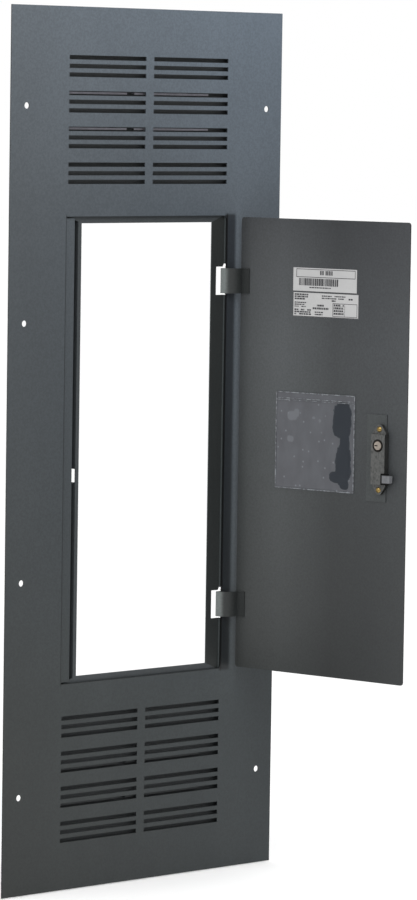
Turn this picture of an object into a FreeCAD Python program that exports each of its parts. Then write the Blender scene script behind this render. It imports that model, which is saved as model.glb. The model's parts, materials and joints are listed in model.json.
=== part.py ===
import FreeCAD, Part

import math
import os

import Sketcher

# Flush, vented trim for a panelboard: a painted steel front with a hinged, lockable door.
# Millimetres. X is to the right, Y goes back into the wall and Z is up. The origin is the
# centre of the screw-hole pattern, on the back face of the trim sheet, so the sheet fills
# Y = -sheet to 0. The door is built closed in its own frame and then swung open.

doc = FreeCAD.newDocument("vented_panel_trim")
sheet = doc.addObject("Spreadsheet::Sheet", "sizes")

DRIVING = {
    "trim_width": 546.1,        # 21.5 in: a 20 in box plus 3/4 in each side
    "trim_height": 1308.1,      # 51.5 in: a 50 in box plus 3/4 in top and bottom
    "sheet_gauge": 1.9,         # 14 gauge trim and door
    "frame_gauge": 1.5,         # 16 gauge rails and baffles
    "hole_columns": 484.2,      # screw holes, left to right
    "outer_rows": 1016.0,       # outer pair of screw-hole rows
    "middle_rows": 381.0,       # middle pair of screw-hole rows
    "hole_bore": 9.5,           # 3/8 in, for 5/16 in trim screws
    "slot_length": 152.4,
    "slot_width": 6.35,
    "slot_pitch": 12.7,
    "cluster_pitch": 52.4,
    "slot_columns": 168.2,
    "first_slot": 579.7,        # height of the slot furthest from the middle
    "opening_width": 325.0,
    "opening_height": 691.0,
    "opening_corner": 6.5,
    "stop_width": 18.0,         # joggled door stop on the lock side
    "stop_slit": 2.0,
    "door_width": 321.5,
    "door_height": 688.0,
    "door_corner": 4.5,
    "door_hinge_edge": 161.0,
    "door_open": 97.0,          # degrees, the pose the trim is shown in
    "pivot_across": 178.0,
    "pivot_back": 6.5,
    "pin_bore": 2.45,
    "pin_clearance": 0.05,
    "hinge_level": 247.0,
    "arm_height": 38.0,
    "arm_gauge": 2.3,
    "arm_reach": 19.6,          # radius of the gooseneck about the pin
    "frame_face": 2.6,          # depth of the rear frame's lip behind the sheet
    "window_left": -128.7,
    "window_right": 135.1,
    "window_half_height": 336.0,
    "frame_outer": 176.0,
    "frame_top": 353.5,
    "bolt_travel": 10.0,        # clears the strike lip by 0.3
}
for row, (alias, value) in enumerate(DRIVING.items(), start=1):
    sheet.set(f"A{row}", alias)
    sheet.set(f"B{row}", str(value))
    sheet.setAlias(f"B{row}", alias)
doc.recompute()


def size(alias):
    """A driving dimension, read back from the sheet."""
    return float(sheet.get(alias))


GAUGE = size("sheet_gauge")
RAIL_GAUGE = size("frame_gauge")
PIVOT = FreeCAD.Vector(size("pivot_across"), size("pivot_back"), 0)
DOOR_SWING = FreeCAD.Placement(
    FreeCAD.Vector(0, 0, 0),
    FreeCAD.Rotation(FreeCAD.Vector(0, 0, 1), size("door_open")),
    PIVOT,
)
HOME = FreeCAD.Placement()
pieces = []


def new_body(label, placement=HOME):
    """An empty body for one piece, entered in the list of pieces."""
    body = doc.addObject("PartDesign::Body", label)
    body.Label = label
    body.Placement = placement
    pieces.append(body)
    return body


def plane(body, role):
    """One of the body's own origin planes."""
    return next(item for item in body.Origin.OriginFeatures if item.Role == role)


def new_sketch(body, name, role, offset=0.0):
    """A sketch on an origin plane, moved along the plane's normal by offset."""
    sketch = body.newObject("Sketcher::SketchObject", f"{body.Name}_{name}")
    sketch.AttachmentSupport = [(plane(body, role), "")]
    sketch.MapMode = "FlatFace"
    sketch.AttachmentOffset = FreeCAD.Placement(FreeCAD.Vector(0, 0, offset), FreeCAD.Rotation())
    return sketch


def bind(sketch, constraint, name, expression):
    """Add a sketch constraint and tie it to the sheet."""
    index = sketch.addConstraint(constraint)
    sketch.renameConstraint(index, name)
    sketch.setExpression(f"Constraints.{name}", expression)


def outline(sketch, points):
    """A closed outline of straight lines through the points."""
    vectors = [FreeCAD.Vector(x, y, 0) for x, y in points]
    first = sketch.GeometryCount
    for start, end in zip(vectors, vectors[1:] + vectors[:1]):
        sketch.addGeometry(Part.LineSegment(start, end), False)
    count = len(vectors)
    for step in range(count):
        following = first + (step + 1) % count
        sketch.addConstraint(Sketcher.Constraint("Coincident", first + step, 2, following, 1))
    return first


def rectangle(sketch, left, bottom, right, top):
    """A closed, square-cornered rectangle."""
    return outline(sketch, [(left, bottom), (right, bottom), (right, top), (left, top)])


def bound_rectangle(sketch, width, height, centre=(0.0, 0.0)):
    """A rectangle whose width and height are cells of the sheet, placed about centre."""
    x, y = centre
    half_w, half_h = size(width) / 2, size(height) / 2
    first = rectangle(sketch, x - half_w, y - half_h, x + half_w, y + half_h)
    bottom, right = first, first + 1
    for line in (first, first + 2):
        sketch.addConstraint(Sketcher.Constraint("Horizontal", line))
    for line in (first + 1, first + 3):
        sketch.addConstraint(Sketcher.Constraint("Vertical", line))
    bind(sketch, Sketcher.Constraint("Distance", bottom, 2 * half_w), "wide", f"sizes.{width}")
    bind(sketch, Sketcher.Constraint("Distance", right, 2 * half_h), "tall", f"sizes.{height}")
    sketch.addConstraint(Sketcher.Constraint("DistanceX", -1, 1, first, 1, x - half_w))
    sketch.addConstraint(Sketcher.Constraint("DistanceY", -1, 1, first, 1, y - half_h))
    return first


def circle(sketch, x, y, radius):
    """A full circle about a point."""
    centre = FreeCAD.Vector(x, y, 0)
    sketch.addGeometry(Part.Circle(centre, FreeCAD.Vector(0, 0, 1), radius), False)


def pad(body, sketch, length, both_ways=False, reverse=False):
    """Pad a sketch by a number or by an expression on the sheet."""
    feature = body.newObject("PartDesign::Pad", f"{sketch.Name}_pad")
    feature.Profile = sketch
    feature.Midplane = both_ways
    feature.Reversed = reverse
    if isinstance(length, str):
        feature.setExpression("Length", length)
    else:
        feature.Length = length
    doc.recompute()
    return feature


def pocket(body, sketch):
    """Cut a sketch right through the body both ways, and make sure that it cut something."""
    before = body.Shape.Volume
    feature = body.newObject("PartDesign::Pocket", f"{sketch.Name}_pocket")
    feature.Profile = sketch
    feature.Type = 1
    feature.Midplane = True
    doc.recompute()
    if body.Shape.Volume >= before:
        raise RuntimeError(f"{sketch.Name} cuts nothing")
    return feature


def blind_pocket(body, sketch, depth, reverse=False, both_ways=False):
    """Cut a sketch to a depth, and make sure that it cut something."""
    before = body.Shape.Volume
    feature = body.newObject("PartDesign::Pocket", f"{sketch.Name}_pocket")
    feature.Profile = sketch
    feature.Type = 0
    feature.Length = depth
    feature.Reversed = reverse
    feature.Midplane = both_ways
    doc.recompute()
    if body.Shape.Volume >= before:
        raise RuntimeError(f"{sketch.Name} cuts nothing")
    return feature


def vertical_edges(shape, corners):
    """Names of the edges along Y that pass through the given X, Z corners."""
    names = []
    for number, edge in enumerate(shape.Edges, start=1):
        middle = edge.CenterOfMass
        along_y = abs(edge.BoundBox.YLength - edge.Length) < 1e-6
        if along_y and any(math.hypot(middle.x - x, middle.z - z) < 0.01 for x, z in corners):
            names.append(f"Edge{number}")
    return names


def round_corners(body, corners, alias):
    """Round the sheet-thickness edges at the given X, Z corners."""
    base = body.Tip
    edges = vertical_edges(base.Shape, corners)
    fillet = body.newObject("PartDesign::Fillet", f"{body.Name}_corner_rounds")
    fillet.Base = (base, edges)
    fillet.setExpression("Radius", f"sizes.{alias}")
    doc.recompute()
    return fillet


# ---- Sheet-metal trim -----------------------------------------------------------------------

HALF_WINDOW_W = size("opening_width") / 2
HALF_WINDOW_H = size("opening_height") / 2
SCREW_ROWS = (size("outer_rows") / 2, size("middle_rows") / 2)


def slot_heights():
    """Heights of the slot centres in the upper block, top one first."""
    for cluster in range(4):
        for slot in range(3):
            yield size("first_slot") - cluster * size("cluster_pitch") - slot * size("slot_pitch")


def make_trim_plate():
    """The front sheet: opening, joggled door stop, screw holes and two blocks of vent slots."""
    body = new_body("trim_plate")
    face = new_sketch(body, "face", "XZ_Plane")
    bound_rectangle(face, "trim_width", "trim_height")
    pad(body, face, "sizes.sheet_gauge")
    window = new_sketch(body, "window", "XZ_Plane")
    bound_rectangle(window, "opening_width", "opening_height")
    pocket(body, window)
    round_corners(body, [(HALF_WINDOW_W, HALF_WINDOW_H), (HALF_WINDOW_W, -HALF_WINDOW_H)],
                  "opening_corner")
    screws = new_sketch(body, "screw_holes", "XZ_Plane")
    for x in (-size("hole_columns") / 2, size("hole_columns") / 2):
        for row in SCREW_ROWS:
            for z in (-row, row):
                circle(screws, x, z, size("hole_bore") / 2)
    pocket(body, screws)
    vents = new_sketch(body, "vents", "XZ_Plane")
    half_length, half_width = size("slot_length") / 2, size("slot_width") / 2
    for x in (-size("slot_columns") / 2, size("slot_columns") / 2):
        for height in slot_heights():
            for z in (-height, height):
                rectangle(vents, x - half_length, z - half_width, x + half_length, z + half_width)
    pocket(body, vents)
    # The stop is the strip of sheet left in the opening, pushed back so the door lies over it.
    edge = -HALF_WINDOW_W
    stop_front = 0.3
    stop_back = stop_front + GAUGE
    stop = new_sketch(body, "door_stop", "XY_Plane")
    outline(stop, [
        (edge, -GAUGE),
        (edge + 1.2, stop_front),
        (edge + size("stop_width"), stop_front),
        (edge + size("stop_width"), stop_back),
        (edge + 0.4, stop_back),
        (edge - 1.0, 0.0),
        (edge - 1.0, -GAUGE),
    ])
    pad(body, stop, "sizes.opening_height - 2 * sizes.stop_slit", both_ways=True)


# ---- Rear frame -----------------------------------------------------------------------------

LIP_FRONT = size("frame_face")
LIP_BACK = LIP_FRONT + RAIL_GAUGE
FLANGE_WIDTH = 14.0
HALF_CLEAR = size("window_half_height")
FRAME_TOP = size("frame_top")
FRAME_OUTER = size("frame_outer")
HINGE_LEVELS = (size("hinge_level"), -size("hinge_level"))
BOLT_LEVEL = -37.3
BOLT_HALF_HEIGHT = 6.4
SPRING_DEPTH = 6.6


def mitre_height(x, inner):
    """Height of the mitre line at x, from the clear window's corner to the frame's corner."""
    share = (abs(x) - abs(inner)) / (FRAME_OUTER - abs(inner))
    return HALF_CLEAR + share * (FRAME_TOP - HALF_CLEAR)


def cut_mitres(body, inner_edges, above):
    """Cut a rail's ends along the mitre lines. above removes what is beyond the line."""
    sketch = new_sketch(body, "mitres", "XZ_Plane")
    far = FRAME_OUTER + 30
    beyond = FRAME_TOP + 40
    for inner in inner_edges:
        outward = math.copysign(1, inner)
        line_end = mitre_height(far, inner)
        limit = beyond if above else 300.0
        for end in (1, -1):
            outline(sketch, [
                (inner, end * HALF_CLEAR),
                (outward * far, end * line_end),
                (outward * far, end * limit),
                (inner, end * limit),
            ])
    pocket(body, sketch)


def make_right_rail():
    """Hinge-side rail: back flange, short wall and a flat lip with two hinge cut-outs."""
    body = new_body("frame_rail_right")
    wall = HALF_WINDOW_W - 1.2
    section = new_sketch(body, "section", "XY_Plane")
    outline(section, [
        (FRAME_OUTER, 0),
        (FRAME_OUTER, RAIL_GAUGE),
        (wall + RAIL_GAUGE, RAIL_GAUGE),
        (wall + RAIL_GAUGE, LIP_BACK),
        (size("window_right"), LIP_BACK),
        (size("window_right"), LIP_FRONT),
        (wall, LIP_FRONT),
        (wall, 0),
    ])
    pad(body, section, "2 * sizes.frame_top", both_ways=True)
    cut_mitres(body, [size("window_right")], above=True)
    relief = new_sketch(body, "hinge_cutouts", "XZ_Plane")
    near, far = size("window_right") + 10.4, FRAME_OUTER + 1
    half = size("arm_height") / 2 + 2.4
    kick = 4.5
    for level in HINGE_LEVELS:
        outline(relief, [
            (near, level - half),
            (far, level - half),
            (far, level + half + kick),
            (wall, level + half + kick),
            (wall - kick / 2, level + half),
            (near, level + half),
        ])
    pocket(body, relief)


def make_left_rail():
    """Lock-side rail: a hat section behind the door stop, closed at both ends, with the strike
    slot in its wall."""
    body = new_body("frame_rail_left")
    outer_wall = -HALF_WINDOW_W - 2.0
    lip_edge = size("window_left")
    strike = lip_edge - 6.6
    trough = 18.0
    section = new_sketch(body, "section", "XY_Plane")
    outline(section, [
        (-FRAME_OUTER, 0),
        (outer_wall, 0),
        (outer_wall, trough - RAIL_GAUGE),
        (strike, trough - RAIL_GAUGE),
        (strike, LIP_FRONT),
        (lip_edge, LIP_FRONT),
        (lip_edge, LIP_BACK),
        (strike + RAIL_GAUGE, LIP_BACK),
        (strike + RAIL_GAUGE, trough),
        (outer_wall - RAIL_GAUGE, trough),
        (outer_wall - RAIL_GAUGE, RAIL_GAUGE),
        (-FRAME_OUTER, RAIL_GAUGE),
    ])
    pad(body, section, "2 * sizes.frame_top", both_ways=True)
    cut_mitres(body, [lip_edge], above=True)
    # Past the mitres the trough runs on behind the header and the sill, to a cap at each end.
    overlap = 6.0
    front = LIP_BACK + 0.05
    for end, side in (("top", 1), ("bottom", -1)):
        low, high = sorted((side * (HALF_CLEAR - overlap), side * FRAME_TOP))
        run = new_sketch(body, f"trough_{end}", "XY_Plane", low)
        outline(run, [
            (outer_wall - RAIL_GAUGE, front),
            (outer_wall, front),
            (outer_wall, trough - RAIL_GAUGE),
            (strike, trough - RAIL_GAUGE),
            (strike, front),
            (strike + RAIL_GAUGE, front),
            (strike + RAIL_GAUGE, trough),
            (outer_wall - RAIL_GAUGE, trough),
        ])
        pad(body, run, high - low)
        cap_foot = high - RAIL_GAUGE if side > 0 else low
        cap = new_sketch(body, f"cap_{end}", "XY_Plane", cap_foot)
        rectangle(cap, outer_wall - RAIL_GAUGE, front, strike + RAIL_GAUGE, trough)
        pad(body, cap, RAIL_GAUGE)
    # The outer wall is left whole: the slot is cut only as far as the strike wall.
    slot = new_sketch(body, "strike_slot", "YZ_Plane")
    half_slot = BOLT_HALF_HEIGHT + 3.6
    rectangle(slot, LIP_BACK, BOLT_LEVEL - half_slot, 15.2, BOLT_LEVEL + half_slot)
    blind_pocket(body, slot, 2 * (abs(strike) + 3), both_ways=True)


def make_cross_rail(label, end):
    """Header (end = 1) or sill (end = -1): back flange, wall and lip, mitred at both ends."""
    body = new_body(label)
    section = new_sketch(body, "section", "YZ_Plane")
    wall = FRAME_TOP - RAIL_GAUGE
    outline(section, [
        (0, end * (FRAME_TOP + FLANGE_WIDTH)),
        (RAIL_GAUGE, end * (FRAME_TOP + FLANGE_WIDTH)),
        (RAIL_GAUGE, end * FRAME_TOP),
        (LIP_BACK, end * FRAME_TOP),
        (LIP_BACK, end * HALF_CLEAR),
        (LIP_FRONT, end * HALF_CLEAR),
        (LIP_FRONT, end * wall),
        (0, end * wall),
    ])
    pad(body, section, "2 * sizes.frame_outer", both_ways=True)
    cut_mitres(body, [size("window_left"), size("window_right")], above=False)


# ---- Vent baffles ---------------------------------------------------------------------------

BAFFLE_DEPTH = 13.0
BAFFLE_HALF_WIDTH = 188.0
DEFLECTOR_DEPTH = 5.0
STRIP_HEIGHT = 3.0


def make_baffle(label, end):
    """A pan behind one block of slots: solid behind them, open at the top and bottom."""
    body = new_body(label)
    heights = list(slot_heights())
    length = heights[0] - heights[-1] + 30
    middle = end * (heights[0] + heights[-1]) / 2
    half = BAFFLE_HALF_WIDTH
    section = new_sketch(body, "section", "XY_Plane", middle)
    outline(section, [
        (-half - 14, 0),
        (-half, 0),
        (-half, BAFFLE_DEPTH - RAIL_GAUGE),
        (half, BAFFLE_DEPTH - RAIL_GAUGE),
        (half, 0),
        (half + 14, 0),
        (half + 14, RAIL_GAUGE),
        (half + RAIL_GAUGE, RAIL_GAUGE),
        (half + RAIL_GAUGE, BAFFLE_DEPTH),
        (-half - RAIL_GAUGE, BAFFLE_DEPTH),
        (-half - RAIL_GAUGE, RAIL_GAUGE),
        (-half - 14, RAIL_GAUGE),
    ])
    pad(body, section, length, both_ways=True)


def make_deflectors(label, end):
    """Four small angle strips in a baffle, two side by side behind each of two slot rows."""
    strips = []
    spans = ((-187.0, -40.0), (-25.0, 126.0))
    rows = [size("first_slot") - cluster * size("cluster_pitch") for cluster in (1, 2)]
    for row in rows:
        for left, right in spans:
            foot_back = BAFFLE_DEPTH - RAIL_GAUGE
            strip = doc.addObject("Part::Box", f"{label}_strip")
            strip.Length = right - left
            strip.Width = 1.0
            strip.Height = STRIP_HEIGHT
            strip.Placement.Base = FreeCAD.Vector(left, DEFLECTOR_DEPTH, end * row - 1.0)
            shelf = doc.addObject("Part::Box", f"{label}_shelf")
            shelf.Length = right - left
            shelf.Width = foot_back - DEFLECTOR_DEPTH
            shelf.Height = 1.0
            shelf.Placement.Base = FreeCAD.Vector(left, DEFLECTOR_DEPTH, end * row + 1.0)
            angle = doc.addObject("Part::Fuse", f"{label}_angle")
            angle.Base = strip
            angle.Tool = shelf
            strips.append(angle)
    group = doc.addObject("Part::Compound", label)
    group.Label = label
    group.Links = strips
    pieces.append(group)


# ---- Gooseneck hinges -----------------------------------------------------------------------

PIN_RADIUS = size("pin_bore") - size("pin_clearance")
KNUCKLE_RADIUS = 4.7
EAR_GAUGE = 2.0
EAR_GAP = 0.3


def make_hinge_bracket(label, level):
    """A U-shaped bracket behind the trim: its two ears hold the ends of the pin."""
    body = new_body(label)
    half = size("arm_height") / 2 + EAR_GAP
    outer = half + EAR_GAUGE
    base = new_sketch(body, "base", "XZ_Plane")
    rectangle(base, PIVOT.x - 9, level - outer, PIVOT.x + 24, level + outer)
    pad(body, base, 1.4, reverse=True)
    for name, height in (("lower_ear", level - outer), ("upper_ear", level + half)):
        ear = new_sketch(body, name, "XY_Plane", height)
        outline(ear, [
            (PIVOT.x - 5.2, 1.0),
            (PIVOT.x + 20, 1.0),
            (PIVOT.x + 5.2, PIVOT.y + 5.4),
            (PIVOT.x - 5.2, PIVOT.y + 5.4),
        ])
        pad(body, ear, EAR_GAUGE)
    holes = new_sketch(body, "pin_holes", "XY_Plane")
    circle(holes, PIVOT.x, PIVOT.y, PIN_RADIUS)
    pocket(body, holes)


def make_hinge_pin(label, level):
    """A plain pin, riveted over at its lower end and headed at its upper end."""
    half = size("arm_height") / 2 + EAR_GAP + EAR_GAUGE
    body = new_body(label)
    shank = new_sketch(body, "shank", "XY_Plane", level - half - 1.0)
    circle(shank, PIVOT.x, PIVOT.y, PIN_RADIUS)
    pad(body, shank, 2 * half + 2.0)
    for name, height in (("foot", level - half - 1.2), ("head", level + half)):
        cap = new_sketch(body, name, "XY_Plane", height)
        circle(cap, PIVOT.x, PIVOT.y, PIN_RADIUS + 1.4)
        pad(body, cap, 1.2)


def polar(radius, degrees):
    """A point about the hinge pin, in the closed door's frame."""
    angle = math.radians(degrees)
    return FreeCAD.Vector(PIVOT.x + radius * math.cos(angle), PIVOT.y + radius * math.sin(angle), 0)


def make_hinge_arm(label, level):
    """The gooseneck: a knuckle on the pin, a spoke, a quarter arc round the trim and a tab."""
    half_gauge = size("arm_gauge") / 2
    inner, outer = size("arm_reach") - half_gauge, size("arm_reach") + half_gauge
    height = size("arm_height")
    tab_reach = 13.4
    tab_back = 2.0
    bottom = level - height / 2
    lift = FreeCAD.Vector(0, 0, bottom)
    spoke_edge = math.degrees(math.asin(half_gauge / outer))
    neck = Part.Wire([
        Part.Arc(polar(outer, 90 - spoke_edge), polar(outer, 135), polar(outer, 180)).toShape(),
        Part.makeLine(polar(outer, 180), FreeCAD.Vector(PIVOT.x - outer, tab_back, 0)),
        Part.makeLine(FreeCAD.Vector(PIVOT.x - outer, tab_back, 0),
                      FreeCAD.Vector(PIVOT.x - outer - tab_reach, tab_back, 0)),
        Part.makeLine(FreeCAD.Vector(PIVOT.x - outer - tab_reach, tab_back, 0),
                      FreeCAD.Vector(PIVOT.x - outer - tab_reach, 0, 0)),
        Part.makeLine(FreeCAD.Vector(PIVOT.x - outer - tab_reach, 0, 0),
                      FreeCAD.Vector(PIVOT.x - inner, 0, 0)),
        Part.makeLine(FreeCAD.Vector(PIVOT.x - inner, 0, 0), polar(inner, 180)),
        Part.Arc(polar(inner, 180), polar(inner, 135), polar(inner, 90 + 3)).toShape(),
        Part.makeLine(polar(inner, 90 + 3), FreeCAD.Vector(PIVOT.x - half_gauge, PIVOT.y + 3.6, 0)),
        Part.makeLine(FreeCAD.Vector(PIVOT.x - half_gauge, PIVOT.y + 3.6, 0),
                      FreeCAD.Vector(PIVOT.x + half_gauge, PIVOT.y + 3.6, 0)),
        Part.makeLine(FreeCAD.Vector(PIVOT.x + half_gauge, PIVOT.y + 3.6, 0),
                      polar(outer, 90 - spoke_edge)),
    ])
    strap = Part.Face(neck).extrude(FreeCAD.Vector(0, 0, height))
    knuckle = Part.makeCylinder(KNUCKLE_RADIUS, height, PIVOT)
    bore = Part.makeCylinder(size("pin_bore"), height, PIVOT)
    shape = strap.fuse(knuckle).cut(bore).removeSplitter()
    shape.translate(lift)
    arm = doc.addObject("Part::Feature", label)
    arm.Label = label
    arm.Shape = shape.Solids[0]
    arm.Placement = DOOR_SWING.multiply(FreeCAD.Placement(lift, FreeCAD.Rotation()))
    pieces.append(arm)


# ---- Door and what it carries (built closed: inner face at Y = 0, front face at Y = -sheet) --

DOOR_RIGHT = size("door_hinge_edge")
DOOR_LEFT = DOOR_RIGHT - size("door_width")
LOCK_ACROSS = DOOR_LEFT + 45.4
LOCK_HALF_WIDTH = 12.7
PLUG_LEVEL = 12.0
HOUSING_TOP = 29.0
HOUSING_FOOT = -46.0
HOUSING_BACK = 11.0
EAR_BACK = 7.5
SCREW_LEVELS = (36.3, -54.2)
SCREW_RADIUS = 2.0
PLATE_GAUGE = 1.2
CYLINDER_RADIUS = 8.2
PLUG_RADIUS = 6.4
FACE_FRONT = -GAUGE - 2.4
BOLT_FRONT = 4.6
NECK_BACK = 8.6
BOLT_BACK = 14.0
BOLT_TIP = DOOR_LEFT + 22.1
WEB_LENGTH = 2.8
BROW_OVERLAP = 2.7
SLIDE_SLACK = 0.2
NOTCH_LENGTH = 2.6
SHOULDER = LOCK_ACROSS - LOCK_HALF_WIDTH - 0.2
NECK_END = LOCK_ACROSS - 4.8
POST_HALF_WIDTH = 2.8
POST_ACROSS = NECK_END - 3.0
BUTTON_WIDTH = 9.0


def lock_holes(body, cylinder_hole):
    """Holes that the cylinder, the two screws and the thumb slide's post pass through."""
    sketch = new_sketch(body, "lock_holes", "XZ_Plane")
    circle(sketch, LOCK_ACROSS, PLUG_LEVEL, cylinder_hole)
    for level in SCREW_LEVELS:
        circle(sketch, LOCK_ACROSS, level, SCREW_RADIUS + 0.25)
    rectangle(sketch, POST_ACROSS - POST_HALF_WIDTH - 0.5, BOLT_LEVEL - 3.5,
              POST_ACROSS + POST_HALF_WIDTH + size("bolt_travel") + 0.5, BOLT_LEVEL + 3.5)
    pocket(body, sketch)


def make_door_panel():
    """The flat door, with rounded corners and the holes of its lock."""
    body = new_body("door_panel", DOOR_SWING)
    face = new_sketch(body, "face", "XZ_Plane")
    middle = (DOOR_LEFT + DOOR_RIGHT) / 2
    bound_rectangle(face, "door_width", "door_height", (middle, 0.0))
    pad(body, face, "sizes.sheet_gauge")
    half = size("door_height") / 2
    corners = [(x, z) for x in (DOOR_LEFT, DOOR_RIGHT) for z in (-half, half)]
    round_corners(body, corners, "door_corner")
    lock_holes(body, CYLINDER_RADIUS + 0.3)


def make_lock_plate():
    """The flat plate that backs the lock on the door's inner face."""
    body = new_body("lock_mounting_plate", DOOR_SWING)
    face = new_sketch(body, "face", "XZ_Plane")
    rectangle(face, DOOR_LEFT + 36.6, -72.5, DOOR_LEFT + 73.4, 57.5)
    pad(body, face, PLATE_GAUGE, reverse=True)
    lock_holes(body, CYLINDER_RADIUS + 0.3)


def make_lock_housing():
    """The cast lock case: a hollow block with an ear and a screw hole at each end."""
    body = new_body("lock_housing", DOOR_SWING)
    left, right = LOCK_ACROSS - LOCK_HALF_WIDTH, LOCK_ACROSS + LOCK_HALF_WIDTH
    case = new_sketch(body, "case", "XZ_Plane", -PLATE_GAUGE)
    rectangle(case, left, HOUSING_FOOT, right, HOUSING_TOP)
    pad(body, case, HOUSING_BACK - PLATE_GAUGE, reverse=True)
    for name, base, tip in (("upper_ear", HOUSING_TOP - 0.5, 43.2),
                            ("lower_ear", HOUSING_FOOT + 0.5, -61.0)):
        ear = new_sketch(body, name, "XZ_Plane", -PLATE_GAUGE)
        point = math.copysign(1, tip - base)
        outline(ear, [
            (left + 0.4, base),
            (left + 0.4, base + point * 2.5),
            (LOCK_ACROSS - 5.0, tip - point * 2.0),
            (LOCK_ACROSS - 2.4, tip),
            (LOCK_ACROSS + 2.4, tip),
            (LOCK_ACROSS + 5.0, tip - point * 2.0),
            (right - 0.4, base + point * 2.5),
            (right - 0.4, base),
        ])
        pad(body, ear, EAR_BACK - PLATE_GAUGE, reverse=True)
    wall = 2.0
    hollow = new_sketch(body, "hollow", "XZ_Plane", -PLATE_GAUGE)
    rectangle(hollow, left + wall, HOUSING_FOOT + wall, right - wall, HOUSING_TOP - wall)
    blind_pocket(body, hollow, HOUSING_BACK - PLATE_GAUGE - wall)
    rear_holes = new_sketch(body, "rear_holes", "XZ_Plane")
    circle(rear_holes, LOCK_ACROSS, PLUG_LEVEL, CYLINDER_RADIUS + 0.05)
    for level in SCREW_LEVELS:
        circle(rear_holes, LOCK_ACROSS, level, SCREW_RADIUS + 0.25)
    pocket(body, rear_holes)
    notch = new_sketch(body, "bolt_notch", "XZ_Plane", -BOLT_FRONT + SLIDE_SLACK)
    rectangle(notch, left - 1, BOLT_LEVEL - BOLT_HALF_HEIGHT - SLIDE_SLACK,
              left + NOTCH_LENGTH, BOLT_LEVEL + BOLT_HALF_HEIGHT + SLIDE_SLACK)
    blind_pocket(body, notch, HOUSING_BACK)


def y_cylinder(radius, front, back, x, z):
    """A cylinder along Y from front to back."""
    return Part.makeCylinder(radius, back - front, FreeCAD.Vector(x, front, z),
                             FreeCAD.Vector(0, 1, 0))


def box(left, front, bottom, right, back, top):
    """A box between two corners."""
    corner = FreeCAD.Vector(left, front, bottom)
    return Part.makeBox(right - left, back - front, top - bottom, corner)


def add_feature(label, shape, place=HOME):
    """Enter a made shape as a piece on the door, placed in the closed door's frame."""
    feature = doc.addObject("Part::Feature", label)
    feature.Label = label
    feature.Shape = shape
    feature.Placement = DOOR_SWING.multiply(place)
    pieces.append(feature)


def make_lock_cylinder():
    """The key cylinder's shell: a barrel with a flange outside and a bore for the plug."""
    body = new_body("lock_cylinder", DOOR_SWING)
    barrel = new_sketch(body, "barrel", "XZ_Plane", -FACE_FRONT)
    circle(barrel, LOCK_ACROSS, PLUG_LEVEL, CYLINDER_RADIUS)
    pad(body, barrel, HOUSING_BACK + 0.2 - FACE_FRONT, reverse=True)
    flange = new_sketch(body, "flange", "XZ_Plane", -FACE_FRONT)
    circle(flange, LOCK_ACROSS, PLUG_LEVEL, CYLINDER_RADIUS + 2.4)
    pad(body, flange, 1.4)
    bore = new_sketch(body, "bore", "XZ_Plane")
    circle(bore, LOCK_ACROSS, PLUG_LEVEL, PLUG_RADIUS + 0.05)
    pocket(body, bore)


def make_lock_plug():
    """The plug that the key turns, with a key slot in front and a cross slot behind."""
    front, back = FACE_FRONT - 1.6, HOUSING_BACK + 0.8
    plug = y_cylinder(PLUG_RADIUS, front, back, LOCK_ACROSS, PLUG_LEVEL)
    keyway = box(LOCK_ACROSS - 0.9, front - 1, PLUG_LEVEL - 4.2,
                 LOCK_ACROSS + 0.9, front + 9, PLUG_LEVEL + 4.2)
    tail_slot = box(LOCK_ACROSS, back - 2.2, PLUG_LEVEL - 0.8,
                    LOCK_ACROSS + PLUG_RADIUS - 0.6, back + 1, PLUG_LEVEL + 0.8)
    add_feature("lock_plug", plug.cut(keyway).cut(tail_slot))


def make_escutcheon():
    """The bezel on the door's front, which the two lock screws thread into."""
    body = new_body("lock_escutcheon", DOOR_SWING)
    depth = -GAUGE - FACE_FRONT
    face = new_sketch(body, "face", "XZ_Plane", GAUGE)
    rectangle(face, LOCK_ACROSS - 17, -63.0, LOCK_ACROSS + 17, 46.0)
    pad(body, face, depth)
    holes = new_sketch(body, "holes", "XZ_Plane")
    circle(holes, LOCK_ACROSS, PLUG_LEVEL, CYLINDER_RADIUS + 0.1)
    slide_left = POST_ACROSS - POST_HALF_WIDTH
    rectangle(holes, slide_left - 0.5, BOLT_LEVEL - 8.5,
              slide_left + BUTTON_WIDTH + size("bolt_travel") + 0.5, BOLT_LEVEL + 8.5)
    pocket(body, holes)
    taps = new_sketch(body, "screw_taps", "XZ_Plane", GAUGE)
    for level in SCREW_LEVELS:
        circle(taps, LOCK_ACROSS, level, SCREW_RADIUS)
    blind_pocket(body, taps, depth - 0.7, reverse=True)


def make_lock_screws():
    """Two round-headed screws from the ears through plate and door into the bezel."""
    screws = []
    for level in SCREW_LEVELS:
        shank = y_cylinder(SCREW_RADIUS, FACE_FRONT + 0.8, EAR_BACK + 1, LOCK_ACROSS, level)
        rim = y_cylinder(4.1, EAR_BACK, EAR_BACK + 0.8, LOCK_ACROSS, level)
        ball = Part.makeSphere(4.6, FreeCAD.Vector(LOCK_ACROSS, EAR_BACK - 1.2, level))
        crown = ball.common(box(LOCK_ACROSS - 5, EAR_BACK + 0.5, level - 5,
                                LOCK_ACROSS + 5, EAR_BACK + 4, level + 5))
        slot = box(LOCK_ACROSS - 5, EAR_BACK + 1.9, level - 0.5,
                   LOCK_ACROSS + 5, EAR_BACK + 4, level + 0.5)
        screw = shank.fuse(rim).fuse(crown).cut(slot).removeSplitter()
        screws.append(screw.Solids[0])
    add_feature("lock_screws", Part.makeCompound(screws))


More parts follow.
